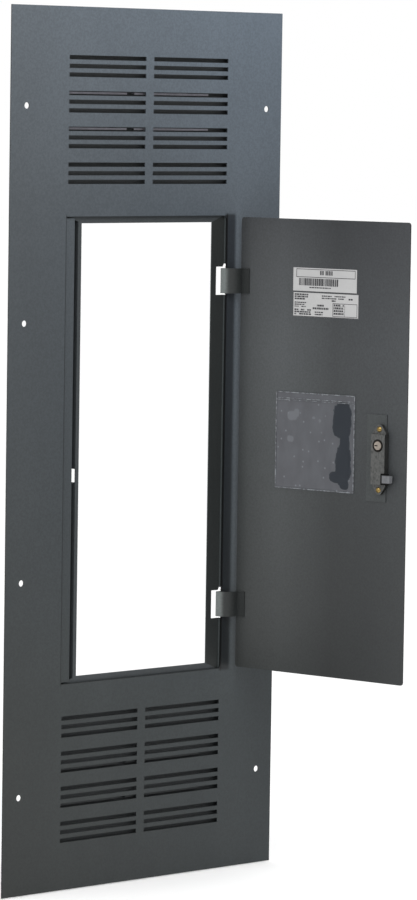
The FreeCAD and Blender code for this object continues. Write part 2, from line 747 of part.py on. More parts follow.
def make_latch_bolt():
    """The sprung bolt: a fork with one prong inside the case and a brow over the case's back,
    joined at the bevelled tip."""
    low, high = BOLT_LEVEL - BOLT_HALF_HEIGHT, BOLT_LEVEL + BOLT_HALF_HEIGHT
    brow_front = HOUSING_BACK + 0.15
    case_side = LOCK_ACROSS - LOCK_HALF_WIDTH
    web = box(BOLT_TIP, BOLT_FRONT, low, BOLT_TIP + WEB_LENGTH, BOLT_BACK, high)
    brow = box(BOLT_TIP, brow_front, low, case_side + BROW_OVERLAP, BOLT_BACK, high)
    prong = box(BOLT_TIP, BOLT_FRONT, low, NECK_END, NECK_BACK, high)
    bevel_run, bevel_start = 1.6, BOLT_BACK - 2.0
    bevel = Part.Face(Part.makePolygon([
        FreeCAD.Vector(BOLT_TIP, bevel_start, low - 1),
        FreeCAD.Vector(BOLT_TIP - 1, bevel_start, low - 1),
        FreeCAD.Vector(BOLT_TIP - 1, BOLT_BACK + 1, low - 1),
        FreeCAD.Vector(BOLT_TIP + bevel_run, BOLT_BACK + 1, low - 1),
        FreeCAD.Vector(BOLT_TIP + bevel_run, BOLT_BACK, low - 1),
        FreeCAD.Vector(BOLT_TIP, bevel_start, low - 1),
    ])).extrude(FreeCAD.Vector(0, 0, high - low + 2))
    bore = Part.makeCylinder(1.7, NECK_END - SHOULDER + 3,
                             FreeCAD.Vector(SHOULDER - 1.5, SPRING_DEPTH, BOLT_LEVEL),
                             FreeCAD.Vector(1, 0, 0))
    bolt = web.fuse([brow, prong]).cut(bevel).cut(bore).removeSplitter()
    add_feature("latch_bolt", bolt.Solids[0])


def make_thumb_slide():
    """The ribbed slide on the door's front, with a post that moves the bolt."""
    post = box(POST_ACROSS - POST_HALF_WIDTH, FACE_FRONT + 0.6, BOLT_LEVEL - 3,
               POST_ACROSS + POST_HALF_WIDTH, BOLT_FRONT, BOLT_LEVEL + 3)
    pad_left = POST_ACROSS - POST_HALF_WIDTH
    button = box(pad_left, FACE_FRONT - 0.9, BOLT_LEVEL - 8, pad_left + BUTTON_WIDTH,
                 -GAUGE - 0.3, BOLT_LEVEL + 8)
    for rib in range(4):
        groove_left = pad_left + 1.3 + rib * 1.9
        groove = box(groove_left, FACE_FRONT - 1.0, BOLT_LEVEL - 7,
                     groove_left + 0.8, FACE_FRONT - 0.3, BOLT_LEVEL + 7)
        button = button.cut(groove)
    add_feature("thumb_slide", button.fuse(post).removeSplitter())


def make_latch_spring():
    """A coil of round wire between the bolt's bore and the far wall of the case."""
    start = SHOULDER - 1.3
    end = LOCK_ACROSS + LOCK_HALF_WIDTH - 2.2
    wire_radius, coil_radius, turns = 0.3, 1.25, 7
    length = end - start - 2 * wire_radius
    rise = length / turns
    helix = Part.makeHelix(rise, length, coil_radius)
    tangent = FreeCAD.Vector(0, 2 * math.pi * coil_radius, rise)
    ring = Part.Wire(Part.makeCircle(wire_radius, FreeCAD.Vector(coil_radius, 0, 0), tangent))
    coil = Part.Solid(Part.Wire(helix).makePipeShell([ring], True, True))
    along = FreeCAD.Rotation(FreeCAD.Vector(0, 1, 0), 90)
    place = FreeCAD.Placement(
        FreeCAD.Vector(start + wire_radius, SPRING_DEPTH, BOLT_LEVEL), along)
    add_feature("latch_spring", coil, place)


def make_flat_piece(label, hinge_side, free_side, low, high, gauge):
    """A thin flat piece stuck on the door's inner face, from distances off its hinge edge."""
    body = new_body(label, DOOR_SWING)
    face = new_sketch(body, "face", "XZ_Plane")
    rectangle(face, DOOR_RIGHT - free_side, low, DOOR_RIGHT - hinge_side, high)
    pad(body, face, gauge, reverse=True)


def make_directory_pocket():
    """The clear directory pocket: a back film and a front film welded along three edges, with
    the space for the card open at the top."""
    body = new_body("directory_pocket", DOOR_SWING)
    left, right = DOOR_RIGHT - 223.7, DOOR_RIGHT - 73.2
    low, high = -63.5, 82.7
    depth, seam, film = 1.2, 4.0, 0.35
    block = new_sketch(body, "block", "XZ_Plane")
    rectangle(block, left, low, right, high)
    pad(body, block, depth, reverse=True)
    inside = new_sketch(body, "inside", "XY_Plane", low + seam)
    rectangle(inside, left + seam, film, right - seam, depth - film)
    blind_pocket(body, inside, high - low, reverse=True)


make_trim_plate()
make_right_rail()
make_left_rail()
make_cross_rail("frame_header", 1)
make_cross_rail("frame_sill", -1)
for name, side in (("upper", 1), ("lower", -1)):
    make_baffle(f"{name}_vent_baffle", side)
    make_deflectors(f"{name}_vent_deflectors", side)
    make_hinge_bracket(f"{name}_hinge_bracket", side * size("hinge_level"))
    make_hinge_pin(f"{name}_hinge_pin", side * size("hinge_level"))
    make_hinge_arm(f"{name}_hinge_arm", side * size("hinge_level"))
make_door_panel()
make_lock_plate()
make_lock_housing()
make_lock_cylinder()
make_lock_plug()
make_escutcheon()
make_lock_screws()
make_latch_bolt()
make_thumb_slide()
make_latch_spring()
make_flat_piece("rating_label", 101.0, 223.0, 235.0, 271.0, 0.15)
make_flat_piece("wiring_label", 102.0, 226.5, 197.5, 233.6, 0.15)
make_directory_pocket()

doc.recompute()
for item in doc.Objects:
    if "Invalid" in item.State or "Error" in item.State:
        raise RuntimeError(f"{item.Label}: {item.State}")

os.makedirs("parts", exist_ok=True)
for piece in pieces:
    shape = piece.Shape
    if shape.isNull() or not shape.isValid() or not shape.Solids:
        raise RuntimeError(f"{piece.Label} is not a valid solid")
    shape.exportStep(f"parts/{piece.Label}.step")
    bounds = shape.BoundBox
    print(f"{piece.Label}: {len(shape.Solids)} solid(s), {shape.Volume:.1f} mm3, "
          f"X {bounds.XMin:.1f}..{bounds.XMax:.1f} Y {bounds.YMin:.1f}..{bounds.YMax:.1f} "
          f"Z {bounds.ZMin:.1f}..{bounds.ZMax:.1f}")
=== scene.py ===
import json
import math
import random

import bpy
from mathutils import Matrix, Vector


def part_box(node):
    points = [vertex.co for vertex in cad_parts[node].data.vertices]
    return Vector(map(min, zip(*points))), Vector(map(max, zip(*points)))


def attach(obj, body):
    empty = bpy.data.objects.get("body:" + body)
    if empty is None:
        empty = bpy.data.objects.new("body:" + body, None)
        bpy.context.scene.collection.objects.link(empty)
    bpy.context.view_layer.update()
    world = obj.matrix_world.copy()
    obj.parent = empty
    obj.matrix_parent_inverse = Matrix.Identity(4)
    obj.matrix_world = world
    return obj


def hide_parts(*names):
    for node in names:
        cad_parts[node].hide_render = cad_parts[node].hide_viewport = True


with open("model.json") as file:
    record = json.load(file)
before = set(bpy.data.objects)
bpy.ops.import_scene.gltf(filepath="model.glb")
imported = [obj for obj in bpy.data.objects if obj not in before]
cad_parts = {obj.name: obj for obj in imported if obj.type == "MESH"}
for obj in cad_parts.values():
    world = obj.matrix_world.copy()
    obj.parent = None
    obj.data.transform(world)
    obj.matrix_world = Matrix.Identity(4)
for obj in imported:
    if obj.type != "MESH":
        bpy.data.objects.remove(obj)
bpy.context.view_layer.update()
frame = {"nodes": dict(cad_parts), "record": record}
NODES = frame["nodes"]
MM = 0.001
random.seed(7)


# ---- Places that follow from the frame ---------------------------------------------------------

JOINTS = {joint["name"]: joint for joint in frame["record"]["behaviour"]["joints"]}
ALONG_DOOR = Vector(JOINTS["latch_slide"]["axis"]).normalized()  # from the free edge to the hinges
OUT_OF_DOOR = Vector(JOINTS["plug_turn"]["axis"]).normalized()   # out of the inner face
LOCK_CENTRE = Vector(JOINTS["plug_turn"]["pos_m"])               # on the inner face
LOCK_FROM_FREE_EDGE = 45.4 * MM
DOOR_WIDTH = 321.5 * MM
DOOR_HALF_HEIGHT = 344.0 * MM
TRIM_LOW, TRIM_HIGH = (Vector(corner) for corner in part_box("trim_plate"))
WINDOW_HALF_WIDTH = 162.5 * MM
WINDOW_HALF_HEIGHT = 345.5 * MM


def door_frame():
    """Matrix from door coordinates to the row frame: X from hinge edge to free edge, Y up the
    door, Z out of its inner face, with the origin on the hinge edge at mid height."""
    free_edge = LOCK_CENTRE - ALONG_DOOR * LOCK_FROM_FREE_EDGE
    origin = free_edge + ALONG_DOOR * DOOR_WIDTH
    origin.z = 0.0
    x, y, z = -ALONG_DOOR, Vector((0, 0, 1)), OUT_OF_DOOR
    return Matrix((
        (x.x, y.x, z.x, origin.x),
        (x.y, y.y, z.y, origin.y),
        (x.z, y.z, z.z, origin.z),
        (0, 0, 0, 1),
    ))


DOOR = door_frame()
LOCK_PLACE = DOOR @ Matrix.Translation((DOOR_WIDTH - LOCK_FROM_FREE_EDGE, LOCK_CENTRE.z, 0))


def door_points(node):
    """A node's vertices in door coordinates."""
    piece = NODES[node]
    to_door = DOOR.inverted()
    return [to_door @ (piece.matrix_world @ vertex.co) for vertex in piece.data.vertices]


def door_depth(node):
    """How far a node reaches out of the door's inner face."""
    return max(point.z for point in door_points(node))


def bolt_face():
    """Left, right, low and high edges of the bolt's outermost face, in door coordinates."""
    outer = door_depth("latch_bolt")
    raised = [point for point in door_points("latch_bolt") if point.z > outer - 0.5 * MM]
    across = [point.x for point in raised]
    up = [point.y for point in raised]
    return min(across), max(across), min(up), max(up)


# ---- Meshes ------------------------------------------------------------------------------------

def mesh_object(name, verts, faces, smooth=False):
    """An object from plain vertex and face lists."""
    mesh = bpy.data.meshes.new(name)
    mesh.from_pydata([tuple(vert) for vert in verts], [], faces)
    mesh.validate()
    mesh.update()
    if smooth:
        for polygon in mesh.polygons:
            polygon.use_smooth = True
    obj = bpy.data.objects.new(name, mesh)
    bpy.context.scene.collection.objects.link(obj)
    return obj


def rounded_outline(width, height, radius, steps=5):
    """Points round a rectangle with rounded corners, centred on the origin."""
    points = []
    for corner in range(4):
        turn = corner * math.pi / 2
        cx = (width / 2 - radius) * (1 if corner in (0, 3) else -1)
        cy = (height / 2 - radius) * (1 if corner in (0, 1) else -1)
        for step in range(steps + 1):
            angle = turn + step / steps * math.pi / 2
            points.append((cx + radius * math.cos(angle), cy + radius * math.sin(angle)))
    return points


def circle(radius, steps=48):
    """Points round a circle, centred on the origin."""
    angles = [2 * math.pi * step / steps for step in range(steps)]
    return [(radius * math.cos(angle), radius * math.sin(angle)) for angle in angles]


def slab(name, outline, low, high, place):
    """A flat closed plate over an outline, from height low to high, put in place by a matrix."""
    count = len(outline)
    verts = [place @ Vector((x, y, low)) for x, y in outline]
    verts += [place @ Vector((x, y, high)) for x, y in outline]
    faces = [tuple(range(count - 1, -1, -1)), tuple(range(count, 2 * count))]
    faces += [(i, (i + 1) % count, count + (i + 1) % count, count + i) for i in range(count)]
    return mesh_object(name, verts, faces)


def ring(name, outer, inner, low, high, place):
    """A closed band between two outlines with the same number of points."""
    count = len(outer)
    layers = [(outer, low), (inner, low), (inner, high), (outer, high)]
    verts = [place @ Vector((x, y, z)) for outline, z in layers for x, y in outline]
    faces = []
    for layer in range(4):
        here, there = layer * count, ((layer + 1) % 4) * count
        for i in range(count):
            j = (i + 1) % count
            faces.append((here + i, there + i, there + j, here + j))
    return mesh_object(name, verts, faces)


def at(place, x, y):
    """A matrix moved within the plane of its own X and Y."""
    return place @ Matrix.Translation((x, y, 0.0))


# ---- Material nodes ----------------------------------------------------------------------------

WHITE = (1.0, 1.0, 1.0)


class Paint:
    """Adds and links the nodes of one material. Where a method takes a value, it may be a
    constant or another node's socket."""

    def __init__(self, name):
        self.material = bpy.data.materials.new(name)
        self.material.use_nodes = True
        self.tree = self.material.node_tree
        self.shader = self.tree.nodes["Principled BSDF"]
        self.coords = self.node("ShaderNodeTexCoord").outputs["Object"]

    def node(self, kind, **settings):
        """A new node with its settings."""
        made = self.tree.nodes.new(kind)
        for key, value in settings.items():
            setattr(made, key, value)
        return made

    def link(self, source, target):
        self.tree.links.new(source, target)

    def feed(self, socket, value):
        """Link a socket, or set a number or colour as a constant."""
        if isinstance(value, bpy.types.NodeSocket):
            self.link(value, socket)
        elif isinstance(value, (int, float)):
            socket.default_value = value
        else:
            socket.default_value = (*value, 1)

    def noise(self, scale, detail=4.0, stretch=(1, 1, 1), roughness=0.55):
        """Noise over the object coordinates in metres, scaled along each axis by stretch."""
        mapping = self.node("ShaderNodeMapping")
        mapping.inputs["Scale"].default_value = stretch
        self.link(self.coords, mapping.inputs["Vector"])
        made = self.node("ShaderNodeTexNoise")
        made.inputs["Scale"].default_value = scale
        made.inputs["Detail"].default_value = detail
        made.inputs["Roughness"].default_value = roughness
        self.link(mapping.outputs["Vector"], made.inputs["Vector"])
        return made.outputs["Fac"]

    def ramp(self, source, stops):
        """A colour ramp from (position, colour) stops."""
        made = self.node("ShaderNodeValToRGB")
        elements = made.color_ramp.elements
        while len(elements) < len(stops):
            elements.new(0.5)
        for element, (position, colour) in zip(elements, stops):
            element.position = position
            element.color = (*colour, 1)
        self.link(source, made.inputs["Fac"])
        return made.outputs["Color"]

    def range(self, source, from_low, from_high, low, high, **settings):
        """Map a value from one range to another, and hold it at the ends."""
        made = self.node("ShaderNodeMapRange", **settings)
        for key, value in (("From Min", from_low), ("From Max", from_high),
                           ("To Min", low), ("To Max", high)):
            made.inputs[key].default_value = value
        self.link(source, made.inputs["Value"])
        return made.outputs["Result"]

    def mix(self, factor, first, second, blend="MIX"):
        """Mix two colours."""
        made = self.node("ShaderNodeMix", data_type="RGBA", blend_type=blend)
        self.feed(made.inputs[0], factor)
        self.feed(made.inputs[6], first)
        self.feed(made.inputs[7], second)
        return made.outputs[2]

    def times(self, first, second):
        """The product of two colours."""
        return self.mix(1.0, first, second, "MULTIPLY")

    def math(self, operation, first, second=0.0, clamp=False):
        """A calculation with one or two values."""
        made = self.node("ShaderNodeMath", operation=operation, use_clamp=clamp)
        self.feed(made.inputs[0], first)
        self.feed(made.inputs[1], second)
        return made.outputs[0]

    def product(self, first, *others):
        """The product of two or more values."""
        for other in others:
            first = self.math("MULTIPLY", first, other)
        return first

    def largest(self, first, *others):
        """The largest of one or more values."""
        for other in others:
            first = self.math("MAXIMUM", first, other)
        return first

    def split(self):
        """The three object coordinates, in metres."""
        made = self.node("ShaderNodeSeparateXYZ")
        self.link(self.coords, made.inputs[0])
        return made.outputs

    def facing(self, direction):
        """How far the surface faces a direction of the object's own frame, from -1 to 1."""
        normal = self.node("ShaderNodeTexCoord").outputs["Normal"]
        made = self.node("ShaderNodeVectorMath", operation="DOT_PRODUCT")
        self.link(normal, made.inputs[0])
        made.inputs[1].default_value = direction
        return made.outputs["Value"]

    def step(self, source, low, high):
        """0 below low and 1 above high, with a smooth change between."""
        return self.range(source, low, high, 0.0, 1.0, interpolation_type="SMOOTHSTEP")

    def between(self, source, low, high, soft):
        """1 from low to high and 0 outside, with soft edges of the given width."""
        rising = self.step(source, low - soft, low)
        falling = self.step(source, high, high + soft)
        return self.math("SUBTRACT", rising, falling, clamp=True)

    def on_door(self):
        """Millimetres across the door from its hinge edge, and up the door from its middle."""
        along = self.node("ShaderNodeVectorMath", operation="DOT_PRODUCT")
        self.link(self.coords, along.inputs[0])
        along.inputs[1].default_value = -ALONG_DOOR / MM
        start = -ALONG_DOOR.dot(DOOR.translation) / MM
        across = self.math("SUBTRACT", along.outputs["Value"], start)
        up = self.math("MULTIPLY", self.split()[2], 1 / MM)
        return across, up

    def patch(self, place, centre, half, ragged, soft):
        """A boxy, soft-edged patch on the door: 1 inside, 0 outside, with a ragged border."""
        boxiness = 3.0
        border = 1.8
        raggedness = 1.6
        distances = []
        for value, middle, reach in zip(place, centre, half):
            offset = self.math("SUBTRACT", value, middle)
            share = self.math("ABSOLUTE", self.math("DIVIDE", offset, reach))
            distances.append(self.math("POWER", share, boxiness))
        distance = self.math("ADD", *distances)
        rough = self.math("ADD", distance, self.math("MULTIPLY", ragged, raggedness))
        return self.math("SUBTRACT", 1.0, self.step(rough, border - soft, border + soft))

    def patches(self, places, ragged, soft):
        """Several patches as one. Each place is its centre and half size on the door, in mm."""
        on_door = self.on_door()
        return self.largest(*[self.patch(on_door, centre, half, ragged, soft)
                              for centre, half in places])

    def bump(self, height, strength, distance, under=None):
        """A bumped normal, over another one if that is given."""
        made = self.node("ShaderNodeBump")
        made.inputs["Strength"].default_value = strength
        made.inputs["Distance"].default_value = distance
        self.link(height, made.inputs["Height"])
        if under is not None:
            self.link(under, made.inputs["Normal"])
        return made.outputs["Normal"]

    def finish(self, colour, roughness, normal=None, **constants):
        """Feed the shader and return the material. Constants name its other inputs."""
        self.feed(self.shader.inputs["Base Color"], colour)
        self.feed(self.shader.inputs["Roughness"], roughness)
        if normal is not None:
            self.link(normal, self.shader.inputs["Normal"])
        for key, value in constants.items():
            self.shader.inputs[key.replace("_", " ")].default_value = value
        return self.material


# ---- Kinds of material -------------------------------------------------------------------------

PAINT_SPECULAR = 0.3
FILM_SPECULAR = 0.35
FILM_ALPHA = 0.92


def scaled(colour, factor):
    return tuple(channel * factor for channel in colour)


def enamel(name, colour, gloss, shade=None):
    """Baked enamel on steel: faint mottling, orange peel, fine grit and dull, dusty patches.
    shade is an optional function that returns a colour multiplier socket."""
    paint = Paint(name)
    mottle = paint.noise(5.0, 5.0, (1, 1, 0.6))
    blotches = paint.ramp(mottle, [(0.3, scaled(colour, 0.93)), (0.7, scaled(colour, 1.07))])
    grit = paint.noise(1500.0, 2.0)
    grain = paint.noise(330.0, 2.0)
    skin = paint.ramp(grain, [(0.35, (0.90, 0.90, 0.90)), (0.65, (1.1, 1.1, 1.1))])
    specks = paint.range(grit, 0.62, 0.75, 0.0, 0.35)
    tone = paint.mix(specks, paint.times(blotches, skin), scaled(colour, 1.35))
    if shade is not None:
        tone = paint.times(tone, shade(paint))
    rub = paint.noise(14.0, 6.0, (1, 1, 0.25))
    roughness = paint.range(rub, 0.3, 0.75, gloss - 0.05, gloss + 0.10)
    peel = paint.bump(paint.noise(420.0, 2.0), 0.12, 0.0002)
    fine = paint.bump(grit, 0.05, 0.0001, peel)
    return paint.finish(tone, roughness, fine, Specular_IOR_Level=PAINT_SPECULAR)


def bare_metal(name, colour, roughness, metallic=1.0):
    """Plated or cast metal: drawn grain, small stains and a slightly uneven polish."""
    paint = Paint(name)
    drawn = paint.noise(260.0, 4.0, (1, 1, 40))
    stains = paint.noise(90.0, 5.0)
    base = paint.ramp(stains, [(0.3, scaled(colour, 0.8)), (0.7, scaled(colour, 1.1))])
    rough = paint.range(drawn, 0.3, 0.7, roughness - 0.08, roughness + 0.12)
    return paint.finish(base, rough, paint.bump(drawn, 0.15, 0.0001), Metallic=metallic)


def cast_paint(name, colour, shade, roughness=0.5):
    """Thin grey paint on a rough die casting, with its pebbled skin."""
    paint = Paint(name)
    pebble = paint.noise(900.0, 3.0)
    cloud = paint.noise(120.0, 4.0)
    base = paint.ramp(cloud, [(0.3, scaled(colour, 0.85)), (0.72, scaled(colour, 1.18))])
    rough = paint.range(pebble, 0.3, 0.7, roughness - 0.06, roughness + 0.1)
    return paint.finish(paint.times(base, shade(paint)), rough,
                        paint.bump(pebble, 0.5, 0.0003), Specular_IOR_Level=PAINT_SPECULAR)


def moulded(name, colour, roughness, specular):
    """Black plastic or rubber with a fine spark-eroded grain."""
    paint = Paint(name)
    grain = paint.noise(2200.0, 2.0)
    sheen = paint.noise(40.0, 3.0)
    base = paint.ramp(sheen, [(0.35, scaled(colour, 0.85)), (0.7, scaled(colour, 1.25))])
    rough = paint.range(grain, 0.3, 0.7, roughness - 0.05, roughness + 0.08)
    return paint.finish(base, rough, paint.bump(grain, 0.3, 0.0001),
                        Specular_IOR_Level=specular)


def paper(name, colour):
    """Coated label stock: slightly uneven tone, fine fibres and a soft sheen."""
    paint = Paint(name)
    fibre = paint.noise(700.0, 4.0)
    age = paint.noise(30.0, 3.0)
    base = paint.ramp(age, [(0.3, scaled(colour, 0.93)), (0.75, colour)])
    return paint.finish(base, 0.42, paint.bump(fibre, 0.12, 0.0001))


def ink(name, colour):
    """Printed ink, a little worn where the stock's grain shows through."""
    paint = Paint(name)
    wear = paint.noise(1800.0, 3.0)
    base = paint.ramp(wear, [(0.25, scaled(colour, 2.2)), (0.6, colour)])
    return paint.finish(base, 0.5)


def clear_film(name, clinging_places, bubble_places):
    """Clear vinyl seen against the door: faintly milky, with small marks and bubbles, and
    darker and glossier where it clings to the paint. The paint's tone behind it is mostly in
    its own colour, so the film is nearly opaque."""
    paint = Paint(name)
    scuff = paint.noise(60.0, 6.0, (1, 1, 0.5))
    ragged = paint.noise(75.0, 4.0)
    clinging = paint.patches(clinging_places, ragged, 0.12)
    bubbles = paint.patches(bubble_places, ragged, 0.5)
    across, up = paint.on_door()
    flat = paint.node("ShaderNodeCombineXYZ")
    paint.link(across, flat.inputs[0])
    paint.link(up, flat.inputs[1])
    cells = paint.node("ShaderNodeTexVoronoi", voronoi_dimensions="2D")
    cells.inputs["Scale"].default_value = 0.07
    paint.link(flat.outputs[0], cells.inputs["Vector"])
    dots = paint.math("SUBTRACT", 1.0, paint.step(cells.outputs["Distance"], 0.06, 0.14))
    chosen = paint.step(cells.outputs["Color"], 0.55, 0.60)
    marks = paint.largest(paint.product(bubbles, 0.6), paint.product(dots, chosen))
    milky = paint.ramp(scuff, [(0.3, (0.064, 0.066, 0.074)), (0.7, (0.078, 0.082, 0.091))])
    pale = paint.mix(marks, milky, (0.125, 0.132, 0.146))
    tint = paint.mix(clinging, pale, (0.016, 0.020, 0.026))
    rough = paint.range(clinging, 0.0, 1.0, 0.36, 0.28)
    return paint.finish(tint, rough, paint.bump(scuff, 0.1, 0.0004), Alpha=FILM_ALPHA,
                        Specular_IOR_Level=FILM_SPECULAR)


def welded_seam(name):
    """Vinyl that has turned cloudy where it was welded, in broken streaks."""
    paint = Paint(name)
    streak = paint.noise(160.0, 3.0)
    base = paint.ramp(streak, [(0.42, (0.075, 0.078, 0.086)), (0.60, (0.21, 0.225, 0.24))])
    return paint.finish(base, 0.34, paint.bump(streak, 0.2, 0.0004), Alpha=FILM_ALPHA,
                        Specular_IOR_Level=FILM_SPECULAR)


# ---- Shades: how a painted piece's tone changes over it ----------------------------------------

# Painted light: the sheet's tone falls off from its pale, bluish top to its dark foot.
TRIM_LIGHT_FALLOFF = [  # from the trim's foot to its top
    (0.00, (0.225, 0.220, 0.195)),
    (0.20, (0.250, 0.250, 0.225)),
    (0.50, (0.390, 0.390, 0.380)),
    (0.78, (0.540, 0.540, 0.540)),
    (1.00, (0.800, 0.815, 0.840)),
]
# Painted light: the sheet is paler and bluer to the right, where the right-front light falls.
TRIM_RIGHT_LIGHT = (1.14, 1.22, 1.32)
# Painted shadow of the open door on the sheet beside the hinges: how far it reaches and how dark
# it is.
HINGE_SHADOW_EDGE = 177 * MM
HINGE_SHADOW_TONE = (0.30, 0.30, 0.31)
# Painted shade in the folds round the window and on the sheet's cut edges and sides.
EDGE_SHADE_TONE = (0.16, 0.16, 0.16)

# Painted light: how the door's tone changes up its height.
DOOR_LIGHT_UP = [  # from the door's foot to its top
    (0.00, (0.70, 0.70, 0.66)),
    (0.35, (0.86, 0.87, 0.84)),
    (0.72, (1.08, 1.09, 1.08)),
    (1.00, (0.86, 0.85, 0.86)),
]
# Painted light and shade: how the door's tone changes across, darker at the hinge edge and past
# its middle.
DOOR_LIGHT_ACROSS = [  # from the hinge edge to the free edge
    (0.00, (0.52, 0.52, 0.52)),
    (0.06, (0.72, 0.72, 0.72)),
    (0.26, (0.80, 0.80, 0.81)),
    (0.42, (0.66, 0.66, 0.67)),
    (0.57, (0.50, 0.50, 0.51)),
    (0.80, (0.55, 0.55, 0.57)),
    (1.00, (0.64, 0.64, 0.66)),
]


def window_edge_shade(paint, x, z, beside):
    """Painted shade in the folds round the window and on the sheet's cut edges and sides, from 0
    to 1.
    """
    edge = paint.between(x, WINDOW_HALF_WIDTH - 1 * MM, WINDOW_HALF_WIDTH + 1.6 * MM, 0.6 * MM)
    fold = paint.between(x, -WINDOW_HALF_WIDTH - 0.9 * MM, -WINDOW_HALF_WIDTH + 0.8 * MM,
                         0.6 * MM)
    head = paint.between(paint.math("ABSOLUTE", z), WINDOW_HALF_HEIGHT - 1 * MM,
                         WINDOW_HALF_HEIGHT + 0.6 * MM, 0.5 * MM)
    across = paint.between(x, -WINDOW_HALF_WIDTH, WINDOW_HALF_WIDTH, 1 * MM)
    cut = paint.math("SUBTRACT", 1.0, paint.step(paint.facing((0, -1, 0)), 0.3, 0.7))
    return paint.largest(paint.product(edge, beside), paint.product(fold, beside, 0.7),
                         paint.product(head, across, 0.8), paint.product(cut, 0.75))


def trim_shade(paint):
    """Painted light and shade: the sheet is paler and bluer at the top and to the right, a
    painted shadow of the open door lies in a soft band beside the hinges, and painted shade
    lies in the folds and on the cut edges and sides."""
    x, _, z = paint.split()
    rise = paint.range(z, TRIM_LOW.z, TRIM_HIGH.z, 0.0, 1.0)
    side = paint.range(x, TRIM_LOW.x, TRIM_HIGH.x, 0.0, 1.0)
    tone = paint.times(paint.ramp(rise, TRIM_LIGHT_FALLOFF), paint.mix(side, WHITE, TRIM_RIGHT_LIGHT))
    beside = paint.between(z, -WINDOW_HALF_HEIGHT, WINDOW_HALF_HEIGHT, 6 * MM)
    # Painted shadow of the open door, in a soft band beside the hinges.
    band = paint.between(x, WINDOW_HALF_WIDTH, HINGE_SHADOW_EDGE, 7 * MM)
    tone = paint.mix(paint.product(band, beside), tone, paint.times(tone, HINGE_SHADOW_TONE))
    return paint.mix(window_edge_shade(paint, x, z, beside), tone, paint.times(tone, EDGE_SHADE_TONE))


def rail_shade(paint):
    """Painted shade and light: the rear frame's rail is painted dark for the shadow it stands in,
    and its short walls get a painted highlight for the light from the left.
    """
    lit = paint.step(paint.facing((-1, 0, 0)), 0.5, 0.9)
    return paint.mix(lit, WHITE, (3.2, 3.3, 3.4))


def painted_side_shade(paint):
    """Painted shade: full tone on faces parallel to the door, and much less on cut edges and
    sides.
    """
    turned = paint.math("ABSOLUTE", paint.facing(OUT_OF_DOOR))
    return paint.mix(paint.step(turned, 0.4, 0.9), (0.22, 0.22, 0.22), WHITE)


def casting_shade(paint):
    """The lock case is pitted and streaked up and down, with painted shade on its sides."""
    pits = paint.noise(420.0, 3.0, (1, 1, 0.45), 0.7)
    tone = paint.ramp(pits, [(0.30, (0.45, 0.45, 0.45)), (0.48, (1.15, 1.15, 1.14)),
                             (0.62, (1.35, 1.35, 1.33)), (0.80, (0.80, 0.80, 0.80))])
    return paint.times(tone, painted_side_shade(paint))


def bolt_shade(paint):
    """Bright worn metal inside a painted shadow along its left, upper and lower edges."""
    across, up = paint.on_door()
    left, _, low, high = (edge / MM for edge in bolt_face())
    rim = 1.0
    soft = 0.3
    tall = paint.between(up, low + rim, high - rim, soft)
    wide = paint.step(across, left + rim - soft, left + rim)
    return paint.mix(paint.product(tall, wide), (0.06, 0.06, 0.06), WHITE)


def hinge_shade(paint):
    """The gooseneck's left shoulder catches the light and the rest of it doesn't."""
    lit = paint.step(paint.facing((-1, -0.15, 0)), 0.70, 0.95)
    shoulder = paint.step(paint.split()[1], -9 * MM, -1 * MM)
    return paint.mix(paint.product(lit, shoulder), (1.2, 1.25, 1.25), (9.0, 9.2, 9.0))


def door_shade(paint):
    """Painted light and shade on the door: palest above mid height and a quarter of the way
    across, with painted shade on its cut edges and sides.
    """
    across, up = paint.on_door()
    top = DOOR_HALF_HEIGHT / MM
    rise = paint.ramp(paint.range(up, -top, top, 0.0, 1.0), DOOR_LIGHT_UP)
    side = paint.ramp(paint.range(across, 0.0, DOOR_WIDTH / MM, 0.0, 1.0), DOOR_LIGHT_ACROSS)
    return paint.times(paint.times(rise, side), painted_side_shade(paint))


# ---- The finish of each node -------------------------------------------------------------------

TRIM_PAINT = enamel("trim_enamel", (0.098, 0.112, 0.124), 0.42, trim_shade)
DOOR_PAINT = enamel("door_enamel", (0.062, 0.067, 0.070), 0.46, door_shade)
# Painted shade on the plate's cut edges and sides.
LOCK_PLATE_PAINT = enamel("lock_plate_enamel", (0.038, 0.042, 0.043), 0.46, painted_side_shade)
LIP_PAINT = enamel("lip_enamel", (0.036, 0.041, 0.044), 0.5)
# A darker copy of the frame's enamel: painted shadow of the open door on the right rail.
SHADOWED_RAIL_PAINT = enamel("rail_enamel_shadowed", (0.014, 0.016, 0.016), 0.5, rail_shade)
BAFFLE_PAINT = enamel("baffle_enamel", (0.035, 0.038, 0.040), 0.6)
HINGE_PAINT = enamel("hinge_enamel", (0.012, 0.013, 0.013), 0.5, hinge_shade)
ZINC = bare_metal("zinc_plate", (0.46, 0.46, 0.45), 0.42)
DEFLECTOR = bare_metal("deflector_zinc", (0.26, 0.255, 0.29), 0.55, 0.2)
PLUG = bare_metal("plug_brass", (0.27, 0.235, 0.20), 0.5, 0.5)
BRASS = bare_metal("screw_brass", (0.30, 0.21, 0.075), 0.34)
CASTING = cast_paint("lock_casting", (0.052, 0.053, 0.052), casting_shade)
BOLT = cast_paint("bolt_zinc", (0.105, 0.108, 0.115), bolt_shade)
# The blackened ring, also used as the painted shadow in the plug's slot.
RING_AND_SHADOW = moulded("blackened_ring_and_slot_shadow", (0.006, 0.005, 0.004), 0.55, 0.12)
# Black for the painted shadow gap round the bolt.
BOLT_SHADOW_BLACK = moulded("bolt_shadow_black", (0.003, 0.003, 0.003), 0.8, 0.06)
BLACK = moulded("black_plastic", (0.014, 0.014, 0.015), 0.45, 0.5)
LABEL = paper("label_stock", (0.36, 0.36, 0.36))
